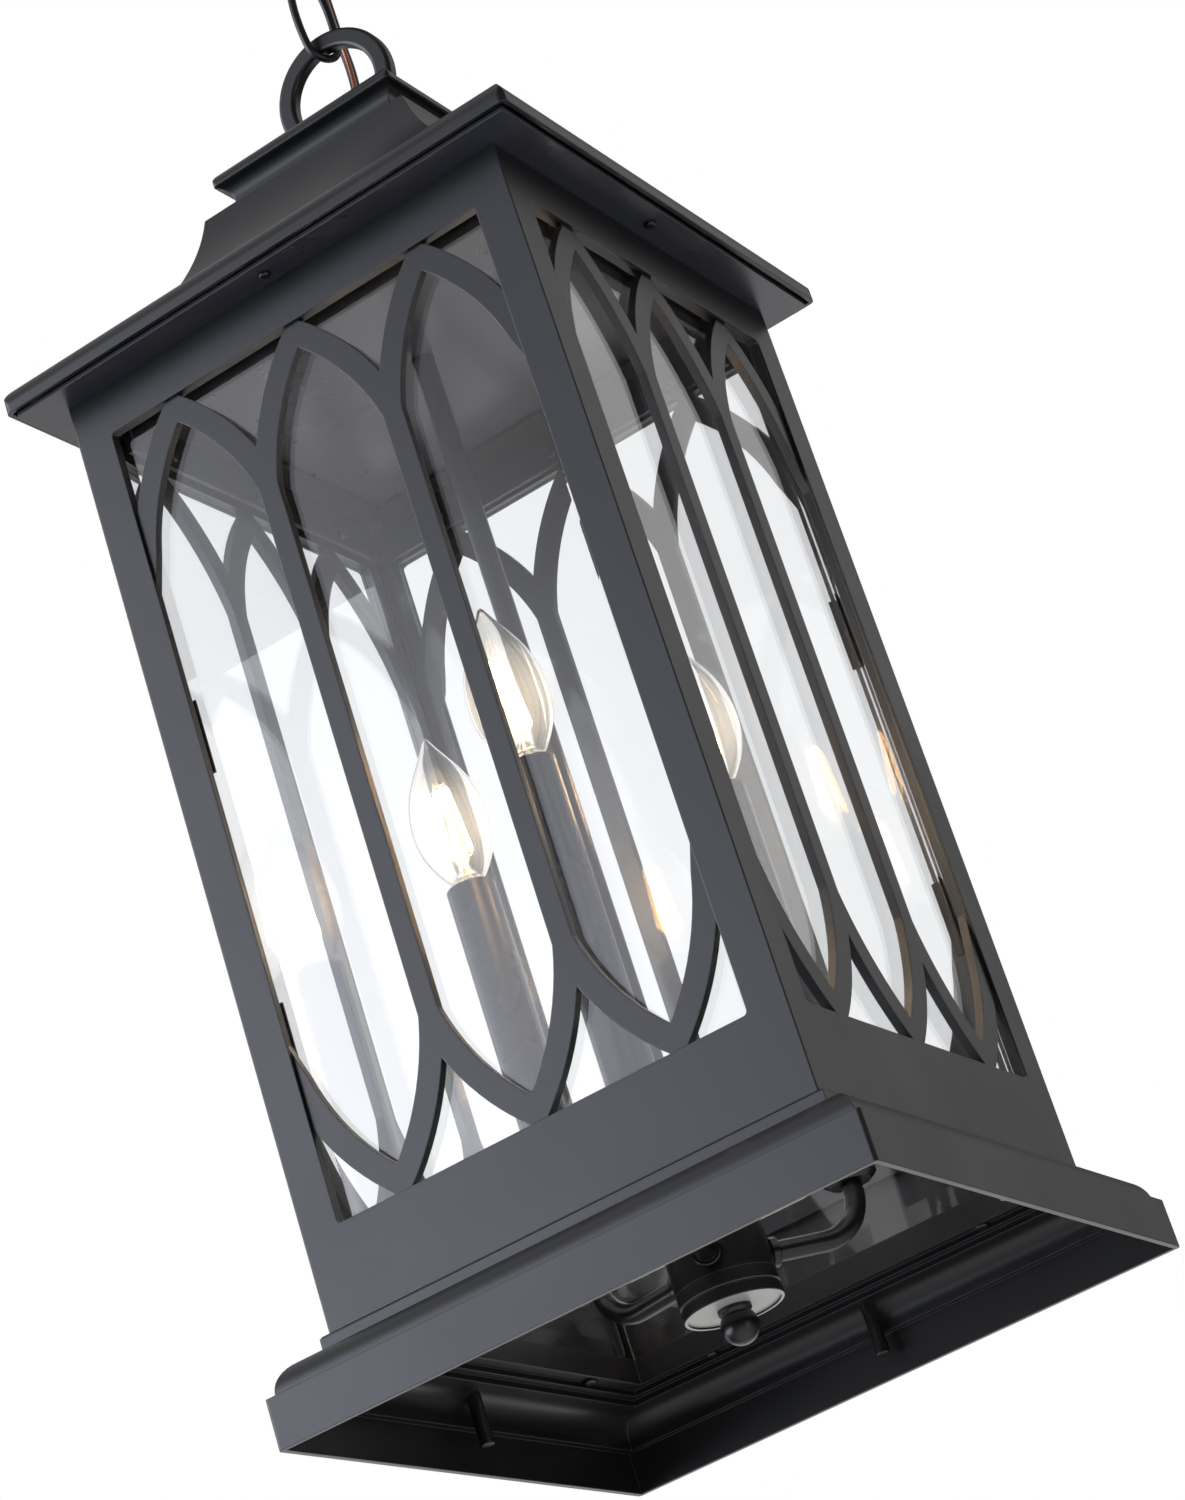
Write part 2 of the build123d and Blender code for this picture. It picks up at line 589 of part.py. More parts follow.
def cord(name, points, width):
    """A round tube along straight runs and arcs through the points, printed with its radii."""
    vectors = [Vector(*p) for p in points]
    radii = []
    for a, b, c in zip(vectors, vectors[1:], vectors[2:]):
        turn = math.radians((b - a).get_angle(c - b))
        radii.append(0.45 * min((b - a).length, (c - b).length) / math.tan(turn / 2))
    path = FilletPolyline(*points, radius=radii)
    start = Plane(origin=path @ 0, z_dir=path % 0)
    solid = sweep(start * Circle(width / 2), path=path)
    ideal = math.pi * (width / 2) ** 2 * path.length
    rounded = [round(r) for r in radii]
    print(f"{name}: length {path.length:.1f}, radii {rounded}, volume ratio {solid.volume / ideal:.4f}")
    write(name, solid)


cord_foot = CROWN_TOP + 4.0
cord_head = canopy_low - 2.5
lower_route = (
    (*CORD_PLACE, cord_foot), (*CORD_PLACE, 568.0), (0.6, 16.6, 586.0), (1.6, 18.8, 607.0),
    (0, CANOPY_CORD, 628.0), (0, CANOPY_CORD, CORD_JOIN),
)
upper_route = (
    (0, CANOPY_CORD, CORD_JOIN), (0, CANOPY_CORD, 662.0), (0.7, 20.8, 679.0), (0, CANOPY_CORD, 698.5),
    (0, CANOPY_CORD, cord_head),
)
for part_name, route in (("lower", lower_route), ("upper", upper_route)):
    cord(f"supply_cord_{part_name}", route, CORD_WIDE)
    beside = [(x + GROUND_SHIFT[0], y + GROUND_SHIFT[1], z) for x, y, z in route]
    cord(f"ground_wire_{part_name}", beside, GROUND_WIDE)

# Lamp cluster: stem, hub, finial, arms, cups, sleeves, sockets, bulbs

stem_radius = STEM_OUTER / 2
stem = tube(stem_radius, HUB_TOP - 3.0, BODY_TOP + 9.0) - tube(stem_radius - 1.0, HUB_TOP - 4, BODY_TOP + 10)
write("stem_tube", stem)
wires = [tube(1.4, HUB_TOP - 8.0, BODY_TOP + 30.0, x, 0) for x in (-1.7, 1.7)]
write("stem_wires", Compound(children=[s for w in wires for s in w.solids()]))

hub_radius = HUB_OUTER / 2
hub_inner, hub_bore = hub_radius - HUB_WALL, stem_radius + 0.1
hub = turned(
    (
        (hub_bore, HUB_TOP - 2.5), (hub_inner, HUB_TOP - 2.5), (hub_inner, HUB_SPLIT + 0.1),
        (hub_radius, HUB_SPLIT + 0.1), (hub_radius, HUB_TOP - 1.5), (hub_radius - 1.5, HUB_TOP),
        (8.0, HUB_TOP), (7.0, HUB_TOP + 5.0), (hub_bore, HUB_TOP + 5.0),
    )
)
# the cover's face is sunk inside a low rim, and a fine groove runs round its side
groove_low, groove_depth = HUB_LOW + 5.0, 0.6
cover = turned(
    (
        (2.2, HUB_LOW + 0.9), (hub_radius - 1.6, HUB_LOW + 0.9), (hub_radius - 1.6, HUB_LOW),
        (hub_radius - 0.3, HUB_LOW), (hub_radius, HUB_LOW + 0.4), (hub_radius, groove_low - 0.4),
        (hub_radius - groove_depth, groove_low), (hub_radius - groove_depth, groove_low + 0.5),
        (hub_radius, groove_low + 0.9), (hub_radius, HUB_SPLIT - 0.1), (hub_inner, HUB_SPLIT - 0.1),
        (hub_inner, HUB_LOW + 3.0), (2.2, HUB_LOW + 3.0),
    )
)
write("hub_cover", cover)

finial = tube(2.0, HUB_LOW - 3.0, HUB_LOW + 7.0)
finial += turned(
    (
        (0, HUB_LOW + 0.8), (7.2, HUB_LOW + 0.8), (7.2, HUB_LOW - 0.6), (6.0, HUB_LOW - 2.4),
        (5.6, BALL_HEIGHT + 3.0), (0, BALL_HEIGHT + 3.0),
    )
)
finial += Pos(0, 0, BALL_HEIGHT) * Sphere(BALL_RADIUS)
write("finial_knob", finial)


def arm():
    """A tube out of the hub along +X that bends up into the candle cup, with a collar at the hub."""
    start, out, up = hub_radius - 4.0, CANDLE_RING, CUP_LOW + 1.5
    bend_in, bend_top = (out - ARM_BEND, 0, ARM_HEIGHT), (out, 0, ARM_HEIGHT + ARM_BEND)
    rise = ARM_BEND * (1 - math.cos(math.pi / 4))
    bend_mid = (out - rise, 0, ARM_HEIGHT + rise)
    path = [
        Line((start, 0, ARM_HEIGHT), bend_in),
        ThreePointArc(bend_in, bend_mid, bend_top),
        Line(bend_top, (out, 0, up)),
    ]
    solid = None
    for piece in path:
        end = Plane(origin=piece @ 0, z_dir=piece % 0)
        run = sweep(end * Circle(ARM_TUBE / 2), path=piece)
        solid = run if solid is None else solid + run
    flange = Pos(hub_radius + 2.2, 0, ARM_HEIGHT) * Rot(0, 90, 0) * Cylinder(6.4, 3.4)
    return solid + fillet(flange.edges().sort_by(Axis.X)[-1:], 0.8)


def candle_cup():
    """A shallow cup that carries the sleeve on the end of the arm."""
    bore = ARM_TUBE / 2 + 0.1
    outline = (
        (bore, CUP_LOW), (9.0, CUP_LOW), (12.0, CUP_LOW + 2.4), (12.4, CUP_LOW + 9.0), (11.3, CUP_LOW + 9.0),
        (11.1, CUP_LOW + 3.0), (bore, CUP_LOW + 2.0),
    )
    return Pos(CANDLE_RING, 0) * turned(outline)


def candle_sleeve():
    """The tube that stands in for a candle, open at both ends, its top edge broken."""
    outer, wall, low, lip = SLEEVE_OUTER / 2, 1.2, CUP_LOW + 3.2, 0.5
    outline = (
        (outer - wall, low), (outer, low), (outer, SLEEVE_TOP - lip), (outer - lip, SLEEVE_TOP),
        (outer - wall, SLEEVE_TOP),
    )
    return Pos(CANDLE_RING, 0) * turned(outline)


def socket():
    """Lamp socket on its nipple, inside the sleeve."""
    low, floor, top, nipple, outer, bore = CUP_LOW + 1.7, SOCKET_FLOOR, SOCKET_TOP, 4.0, 9.3, 6.3
    outline = (
        (0, low), (nipple, low), (nipple, floor), (outer, floor), (outer, top), (bore, top),
        (bore, floor + 5.0), (0, floor + 5.0),
    )
    return Pos(CANDLE_RING, 0) * turned(outline)


def bulb():
    """Candle bulb: screw base, collar and pointed glass."""
    half, foot, glass_low = BULB_WIDE / 2, BULB_SCREW_LOW, BULB_GLASS_LOW
    belly, shoulder = glass_low + 28.0, glass_low + 56.0
    base_line = Polyline(
        (0, foot), (3.0, foot), (5.8, foot + 3.5), (5.8, BULB_COLLAR), (7.2, BULB_COLLAR + 1.5),
        (7.2, glass_low), (8.2, glass_low + 0.6),
    )
    glass_line = Spline(
        (8.2, glass_low + 0.6), (half - 3.3, glass_low + 14.0), (half, belly), (half - 4.6, glass_low + 46.0),
        (7.4, shoulder + 3.0), (2.6, BULB_TIP - 3.6), (0, BULB_TIP),
        tangents=((0.75, 0.65), (-1, 0.55)),
    )
    face = make_face([base_line, glass_line, Line((0, BULB_TIP), (0, foot))])
    return Pos(CANDLE_RING, 0) * revolve(Plane.XZ * face, axis=Axis.Z)


sockets = []
for number, angle in enumerate(CANDLE_ANGLES, 1):
    turn = Rot(0, 0, angle)
    hub -= turn * Pos(hub_radius, 0, ARM_HEIGHT) * Rot(0, 90, 0) * Cylinder(ARM_TUBE / 2 + 0.1, 12)
    hub -= turn * Pos(hub_radius + 2.2, 0, ARM_HEIGHT) * Rot(0, 90, 0) * Cylinder(6.5, 3.5)
    write(f"arm_{number}", turn * arm())
    write(f"candle_cup_{number}", turn * candle_cup())
    write(f"candle_sleeve_{number}", turn * candle_sleeve())
    write(f"bulb_{number}", turn * bulb())
    sockets.append(turn * socket())
write("hub_body", hub)
write("bulb_sockets", Compound(children=[s for k in sockets for s in k.solids()]))
print(f"{len(os.listdir('parts'))} nodes in parts/")
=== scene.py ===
import bpy, bmesh, math
import numpy as np
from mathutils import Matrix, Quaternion, Vector


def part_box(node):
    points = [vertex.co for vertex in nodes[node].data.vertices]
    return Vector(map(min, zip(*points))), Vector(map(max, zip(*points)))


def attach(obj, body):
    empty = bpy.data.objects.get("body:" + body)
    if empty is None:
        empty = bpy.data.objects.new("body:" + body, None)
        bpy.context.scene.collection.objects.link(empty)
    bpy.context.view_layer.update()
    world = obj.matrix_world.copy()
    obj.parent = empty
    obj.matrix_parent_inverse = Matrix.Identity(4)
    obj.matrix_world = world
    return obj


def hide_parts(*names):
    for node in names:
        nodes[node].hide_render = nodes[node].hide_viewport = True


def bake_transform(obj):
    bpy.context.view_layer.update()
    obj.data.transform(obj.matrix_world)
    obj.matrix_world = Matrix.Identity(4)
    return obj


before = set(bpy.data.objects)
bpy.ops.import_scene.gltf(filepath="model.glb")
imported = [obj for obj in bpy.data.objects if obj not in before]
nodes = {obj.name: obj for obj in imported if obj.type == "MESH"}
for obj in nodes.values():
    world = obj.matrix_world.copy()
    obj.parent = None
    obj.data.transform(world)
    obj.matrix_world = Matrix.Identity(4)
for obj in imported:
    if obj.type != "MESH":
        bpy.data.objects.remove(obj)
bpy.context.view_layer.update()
mm = 0.001
lanternDrop = 745 * mm  # body's lower edge under the ceiling; heights below are over that edge
print("frame loaded,", len(nodes), "nodes")


def linear(hexColour, alpha=1.0):
    # sRGB hex to linear: each channel by the sRGB curve
    parts = np.array([int(hexColour[i:i + 2], 16) for i in (1, 3, 5)]) / 255
    low, high = parts / 12.92, ((parts + 0.055) / 1.055) ** 2.4
    return (*np.where(parts <= 0.04045, low, high).tolist(), alpha)


def addNode(tree, kind, settings=None, links=None):
    # settings go to inputs by name, or else to the node itself; links are input name -> output socket
    node = tree.nodes.new(kind)
    for name, value in (settings or {}).items():
        if name in node.inputs:
            node.inputs[name].default_value = value
        else:
            setattr(node, name, value)
    for name, source in (links or {}).items():
        tree.links.new(source, node.inputs[name])
    return node


def newMaterial(name):
    material = bpy.data.materials.new(name)
    material.use_nodes = True
    material.node_tree.nodes.clear()
    return material, material.node_tree


def dress(material, *names):
    # give CAD nodes this material in all their slots; a name ending in * takes every node that starts so
    for name in names:
        for nodeName, piece in nodes.items():
            if nodeName == name or (name.endswith("*") and nodeName.startswith(name[:-1])):
                for index in range(len(piece.material_slots)):
                    piece.material_slots[index].material = material


def gridPiece(name, points, closeAround=True, uv=None, sharpAngle=40):
    # a surface from a rows x columns grid of points; rows run along, columns run around
    rows, cols = points.shape[:2]
    index = np.arange(rows * cols).reshape(rows, cols)
    right = np.roll(index, -1, axis=1)
    if not closeAround:
        index, right = index[:, :-1], right[:, :-1]
    quads = np.stack([index[:-1], right[:-1], right[1:], index[1:]], axis=-1).reshape(-1, 4)
    mesh = bpy.data.meshes.new(name)
    mesh.from_pydata(points.reshape(-1, 3), [], quads)
    if uv is not None:
        # around runs 0 to 1 and closes without a seam; along is a distance in metres
        span = quads.shape[0] // (rows - 1)
        around = np.tile(np.arange(span), rows - 1)[:, None] + np.array([0, 1, 1, 0])
        along = np.repeat(uv[:-1], span), np.repeat(uv[1:], span)
        along = np.stack([along[0], along[0], along[1], along[1]], axis=-1)
        layer = mesh.uv_layers.new(name="alongPiece")
        layer.data.foreach_set("uv", np.stack([around / span, along], axis=-1).ravel())
    shell = bmesh.new()
    shell.from_mesh(mesh)
    bmesh.ops.remove_doubles(shell, verts=shell.verts, dist=1e-7)
    bmesh.ops.dissolve_degenerate(shell, edges=shell.edges, dist=1e-8)
    bmesh.ops.recalc_face_normals(shell, faces=shell.faces)
    shell.to_mesh(mesh)
    shell.free()
    mesh.shade_smooth()
    mesh.set_sharp_from_angle(angle=math.radians(sharpAngle))
    piece = bpy.data.objects.new(name, mesh)
    bpy.context.scene.collection.objects.link(piece)
    return piece


def turnedPoints(profile, centre, columns=64):
    # surface of revolution about the upright line through centre: (r cos a, r sin a, z)
    angle = np.linspace(0, 2 * np.pi, columns, endpoint=False)
    radius, height = profile[:, :1], profile[:, 1:]
    return np.stack([
        centre[0] + radius * np.cos(angle),
        centre[1] + radius * np.sin(angle),
        centre[2] + height + 0 * angle,
    ], axis=-1)


def tubePoints(path, radius, columns=24, reference=(1, 0, 0)):
    # circle of the given radius carried along the path, square to its tangent, with both ends closed
    path = np.asarray(path, float)
    tangent = np.gradient(path, axis=0)
    tangent /= np.linalg.norm(tangent, axis=1, keepdims=True)
    side = np.asarray(reference, float) - (tangent @ np.asarray(reference, float))[:, None] * tangent
    side /= np.linalg.norm(side, axis=1, keepdims=True)
    other = np.cross(tangent, side)
    angle = np.linspace(0, 2 * np.pi, columns, endpoint=False)
    ring = np.cos(angle)[None, :, None] * side[:, None] + np.sin(angle)[None, :, None] * other[:, None]
    wide = np.broadcast_to(np.asarray(radius, float), (len(path),))[:, None, None]
    body = path[:, None] + wide * ring
    first, last = np.repeat(path[:1, None], columns, 1), np.repeat(path[-1:, None], columns, 1)
    return np.concatenate([first, body, last])


def bezier(control, count):
    # Bernstein sum over the control points, evaluated at count even steps
    control = np.asarray(control, float)
    step, order = np.linspace(0, 1, count)[:, None], len(control) - 1
    terms = [math.comb(order, k) * step**k * (1 - step) ** (order - k) for k in range(order + 1)]
    return sum(term * point for term, point in zip(terms, control))


def finishPiece(piece, material, body, replaced=()):
    piece.data.materials.append(material)
    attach(piece, body)
    if replaced:
        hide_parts(*replaced)
    return piece


def powderCoatedSteel(name, colours=("#1c1d1f", "#232427"), rough=(0.33, 0.40), grainMm=0.9, bump=0.003,
                      edgeMm=0.6, paintedUnderLight=None):
    # polyester powder coat baked on sheet steel: satin, faintly pebbled, its edges lightened by a painted
    # highlight
    material, tree = newMaterial(name)
    place = addNode(tree, "ShaderNodeTexCoord").outputs["Object"]
    pebbles = addNode(tree, "ShaderNodeTexNoise", {"Scale": 1 / (grainMm * mm), "Detail": 2.0},
                      {"Vector": place})
    cloud = addNode(tree, "ShaderNodeTexNoise", {"Scale": 1 / (70 * mm), "Detail": 4.0, "Roughness": 0.6},
                    {"Vector": place})
    shade = addNode(tree, "ShaderNodeMixRGB", {"Color1": linear(colours[0]), "Color2": linear(colours[1])},
                    {"Fac": cloud.outputs["Fac"]})
    base = shade.outputs["Color"]
    if paintedUnderLight:
        # painted light: a face that looks straight down is lightened, standing in for light from below
        down = addNode(tree, "ShaderNodeSeparateXYZ", None,
                       {"Vector": addNode(tree, "ShaderNodeTexCoord").outputs["Normal"]}).outputs["Z"]
        below = addNode(tree, "ShaderNodeMapRange", {"From Min": -0.8, "From Max": -0.95}, {"Value": down})
        base = addNode(tree, "ShaderNodeMixRGB", {"Color2": linear(paintedUnderLight)},
                       {"Fac": below.outputs["Result"], "Color1": base}).outputs["Color"]
    # the rounded normal differs from the true one only along an edge, so their dot product finds edges
    rounded = addNode(tree, "ShaderNodeBevel", {"Radius": edgeMm * mm, "samples": 6})
    flat = addNode(tree, "ShaderNodeNewGeometry").outputs["True Normal"]
    same = addNode(tree, "ShaderNodeVectorMath", {"operation": "DOT_PRODUCT"})
    tree.links.new(rounded.outputs["Normal"], same.inputs[0])
    tree.links.new(flat, same.inputs[1])
    edge = addNode(tree, "ShaderNodeMapRange",
                   {"From Min": 0.995, "From Max": 0.80, "To Min": 0.0, "To Max": 0.55},
                   {"Value": same.outputs["Value"]})
    # painted highlight: edges are mixed towards a light grey, where a rounded edge would catch light
    paintedEdgeHighlight = addNode(tree, "ShaderNodeMixRGB", {"Color2": linear("#5a5c61")},
                   {"Fac": edge.outputs["Result"], "Color1": base})
    gloss = addNode(tree, "ShaderNodeMapRange",
                    {"From Min": 0.3, "From Max": 0.7, "To Min": rough[0], "To Max": rough[1]},
                    {"Value": cloud.outputs["Fac"]})
    skin = addNode(tree, "ShaderNodeBump", {"Strength": bump, "Distance": 0.1 * mm},
                   {"Height": pebbles.outputs["Fac"], "Normal": rounded.outputs["Normal"]})
    paint = addNode(tree, "ShaderNodeBsdfPrincipled", {"Specular IOR Level": 0.5},
                    {"Base Color": paintedEdgeHighlight.outputs["Color"], "Roughness": gloss.outputs["Result"],
                     "Normal": skin.outputs["Normal"]})
    addNode(tree, "ShaderNodeOutputMaterial", None, {"Surface": paint.outputs["BSDF"]})
    return material


def zincPlatedSteel():
    # bright zinc with a bluish passivation: grey metal, cloudy in gloss
    material, tree = newMaterial("zincPlatedSteel")
    place = addNode(tree, "ShaderNodeTexCoord").outputs["Object"]
    cloud = addNode(tree, "ShaderNodeTexNoise", {"Scale": 1 / (3 * mm), "Detail": 5.0}, {"Vector": place})
    shade = addNode(tree, "ShaderNodeMixRGB", {"Color1": linear("#9da1a6"), "Color2": linear("#c3c4c0")},
                    {"Fac": cloud.outputs["Fac"]})
    gloss = addNode(tree, "ShaderNodeMapRange", {"To Min": 0.22, "To Max": 0.46},
                    {"Value": cloud.outputs["Fac"]})
    metal = addNode(tree, "ShaderNodeBsdfPrincipled", {"Metallic": 1.0},
                    {"Base Color": shade.outputs["Color"], "Roughness": gloss.outputs["Result"]})
    addNode(tree, "ShaderNodeOutputMaterial", None, {"Surface": metal.outputs["BSDF"]})
    return material


def nickelPlatedBrass():
    # thin bright nickel on the bulb's cap: warm grey mirror with drawing marks
    material, tree = newMaterial("nickelPlatedBrass")
    place = addNode(tree, "ShaderNodeTexCoord").outputs["Object"]
    marks = addNode(tree, "ShaderNodeTexNoise", {"Scale": 1 / (0.8 * mm), "Detail": 3.0}, {"Vector": place})
    gloss = addNode(tree, "ShaderNodeMapRange", {"To Min": 0.12, "To Max": 0.32},
                    {"Value": marks.outputs["Fac"]})
    shade = addNode(tree, "ShaderNodeMixRGB", {"Color1": linear("#cfc8bb"), "Color2": linear("#e9e4da")},
                    {"Fac": marks.outputs["Fac"]})
    metal = addNode(tree, "ShaderNodeBsdfPrincipled", {"Metallic": 1.0},
                    {"Base Color": shade.outputs["Color"], "Roughness": gloss.outputs["Result"]})
    addNode(tree, "ShaderNodeOutputMaterial", None, {"Surface": metal.outputs["BSDF"]})
    return material


def phenolicSocket():
    # compression-moulded phenolic: near black, half matt, slightly mottled
    material, tree = newMaterial("phenolicSocket")
    place = addNode(tree, "ShaderNodeTexCoord").outputs["Object"]
    mottle = addNode(tree, "ShaderNodeTexNoise", {"Scale": 1 / (1.5 * mm), "Detail": 4.0}, {"Vector": place})
    shade = addNode(tree, "ShaderNodeMixRGB", {"Color1": linear("#1b1a1a"), "Color2": linear("#2a2827")},
                    {"Fac": mottle.outputs["Fac"]})
    plastic = addNode(tree, "ShaderNodeBsdfPrincipled", {"IOR": 1.6, "Roughness": 0.45},
                      {"Base Color": shade.outputs["Color"]})
    addNode(tree, "ShaderNodeOutputMaterial", None, {"Surface": plastic.outputs["BSDF"]})
    return material


def clearGlass(name, tint, waveMm, waveStrength, dustiness, paintedGlow=None):
    # soda-lime glass: clear with a faint grey-green cast; lamps' rays pass straight through it; given a
    # glow, it carries a painted glow of lamplight
    material, tree = newMaterial(name)
    place = addNode(tree, "ShaderNodeTexCoord").outputs["Object"]
    wave = addNode(tree, "ShaderNodeTexNoise", {"Scale": 1 / (waveMm * mm), "Detail": 1.0},
                   {"Vector": place})
    ripple = addNode(tree, "ShaderNodeBump", {"Strength": waveStrength, "Distance": 0.2 * mm},
                     {"Height": wave.outputs["Fac"]})
    film = addNode(tree, "ShaderNodeTexNoise", {"Scale": 1 / (18 * mm), "Detail": 6.0, "Roughness": 0.7},
                   {"Vector": place})
    haze = addNode(tree, "ShaderNodeMapRange",
                   {"From Min": 0.4, "From Max": 0.8, "To Min": 0.0, "To Max": dustiness},
                   {"Value": film.outputs["Fac"]})
    # the emission colour is the painted glow's colour; the glass glows only when a glow is given
    glass = addNode(tree, "ShaderNodeBsdfPrincipled",
                    {"Base Color": linear(tint), "IOR": 1.5, "Transmission Weight": 1.0,
                     "Emission Color": linear("#ffe9c8")},
                    {"Roughness": haze.outputs["Result"], "Normal": ripple.outputs["Normal"]})
    if paintedGlow:
        # painted glow standing in for lamplight: strongest where the wall faces the viewer at the filaments'
        # height
        height = addNode(tree, "ShaderNodeSeparateXYZ", None, {"Vector": place}).outputs["Z"]
        near = addNode(tree, "ShaderNodeMath", {"operation": "SUBTRACT"})
        near.inputs[1].default_value = paintedGlow["height"]
        tree.links.new(height, near.inputs[0])
        away = addNode(tree, "ShaderNodeMath", {"operation": "ABSOLUTE"})
        tree.links.new(near.outputs["Value"], away.inputs[0])
        band = addNode(tree, "ShaderNodeMapRange",
                       {"interpolation_type": "SMOOTHSTEP", "From Min": paintedGlow["reach"], "From Max": 0.0,
                        "To Max": paintedGlow["strength"]}, {"Value": away.outputs["Value"]})
        rim = addNode(tree, "ShaderNodeLayerWeight", {"Blend": 0.3}).outputs["Facing"]
        middle = addNode(tree, "ShaderNodeMapRange",
                         {"interpolation_type": "SMOOTHSTEP", "From Min": 0.75, "From Max": 0.05},
                         {"Value": rim})
        glow = addNode(tree, "ShaderNodeMath", {"operation": "MULTIPLY"})
        tree.links.new(band.outputs["Result"], glow.inputs[0])
        tree.links.new(middle.outputs["Result"], glow.inputs[1])
        tree.links.new(glow.outputs["Value"], glass.inputs["Emission Strength"])
    through = addNode(tree, "ShaderNodeBsdfTransparent", {"Color": linear(tint)})
    rays = addNode(tree, "ShaderNodeLightPath").outputs["Is Shadow Ray"]
    both = addNode(tree, "ShaderNodeMixShader", None, {"Fac": rays})
    tree.links.new(glass.outputs["BSDF"], both.inputs[1])
    tree.links.new(through.outputs["BSDF"], both.inputs[2])
    addNode(tree, "ShaderNodeOutputMaterial", None, {"Surface": both.outputs["Shader"]})
    return material


def glowingPhosphor():
    # LED filament: blue chips under a yellow silicone and phosphor skin, too bright to show its colour
    material, tree = newMaterial("glowingPhosphor")
    place = addNode(tree, "ShaderNodeTexCoord").outputs["Object"]
    chips = addNode(tree, "ShaderNodeTexNoise", {"Scale": 1 / (1.2 * mm), "Detail": 1.0}, {"Vector": place})
    heat = addNode(tree, "ShaderNodeMixRGB", {"Color1": linear("#ffb861"), "Color2": linear("#ffe3b4")},
                   {"Fac": chips.outputs["Fac"]})
    glow = addNode(tree, "ShaderNodeBsdfPrincipled",
                   {"Base Color": linear("#f2c04a"), "Roughness": 0.5, "Emission Strength": 30.0},
                   {"Emission Color": heat.outputs["Color"]})
    addNode(tree, "ShaderNodeOutputMaterial", None, {"Surface": glow.outputs["BSDF"]})
    return material


def vinylJacket():
    # black PVC jacket: soft sheen, fine die lines along it
    material, tree = newMaterial("vinylJacket")
    place = addNode(tree, "ShaderNodeTexCoord").outputs["Object"]
    skin = addNode(tree, "ShaderNodeTexNoise", {"Scale": 1 / (0.7 * mm), "Detail": 2.0}, {"Vector": place})
    bumps = addNode(tree, "ShaderNodeBump", {"Strength": 0.15, "Distance": 0.05 * mm},
                    {"Height": skin.outputs["Fac"]})
    gloss = addNode(tree, "ShaderNodeMapRange", {"To Min": 0.3, "To Max": 0.5},
                    {"Value": skin.outputs["Fac"]})
    vinyl = addNode(tree, "ShaderNodeBsdfPrincipled", {"Base Color": linear("#17171a"), "IOR": 1.53},
                    {"Roughness": gloss.outputs["Result"], "Normal": bumps.outputs["Normal"]})
    addNode(tree, "ShaderNodeOutputMaterial", None, {"Surface": vinyl.outputs["BSDF"]})
    return material


def strandedCopper():
    # bare copper strands laid in a long twist under a clear jacket: brown-orange, with slanting dark lines
    # of painted shade in the grooves between strands
    material, tree = newMaterial("strandedCopper")
    flat = addNode(tree, "ShaderNodeUVMap", {"uv_map": "alongPiece"}).outputs["UV"]
    # strands show as many dark lines of painted shade around, and the whole bundle turns once per lay length
    strands, layLength = 6, 9 * mm
    turned = addNode(tree, "ShaderNodeSeparateXYZ", None, {"Vector": flat})
    lay = addNode(tree, "ShaderNodeMath", {"operation": "MULTIPLY_ADD"})
    lay.inputs[1].default_value = 1 / layLength
    tree.links.new(turned.outputs["Y"], lay.inputs[0])
    tree.links.new(turned.outputs["X"], lay.inputs[2])
    phase = addNode(tree, "ShaderNodeMath", {"operation": "MULTIPLY"})
    phase.inputs[1].default_value = strands * 2 * math.pi
    tree.links.new(lay.outputs["Value"], phase.inputs[0])
    strand = addNode(tree, "ShaderNodeMath", {"operation": "SINE"})
    tree.links.new(phase.outputs["Value"], strand.inputs[0])
    height = addNode(tree, "ShaderNodeMapRange", {"From Min": -1.0, "From Max": 1.0},
                     {"Value": strand.outputs["Value"]})
    # the dark colour is painted shade in the grooves between strands; the light one is the copper
    shade = addNode(tree, "ShaderNodeMixRGB", {"Color1": linear("#8a4a30"), "Color2": linear("#eba07a")},
                    {"Fac": height.outputs["Result"]})
    bumps = addNode(tree, "ShaderNodeBump", {"Strength": 0.5, "Distance": 0.15 * mm},
                    {"Height": height.outputs["Result"]})
    wire = addNode(tree, "ShaderNodeBsdfPrincipled",
                   {"Metallic": 0.75, "Roughness": 0.34, "Coat Weight": 0.8, "Coat Roughness": 0.12},
                   {"Base Color": shade.outputs["Color"], "Normal": bumps.outputs["Normal"]})
    addNode(tree, "ShaderNodeOutputMaterial", None, {"Surface": wire.outputs["BSDF"]})
    return material


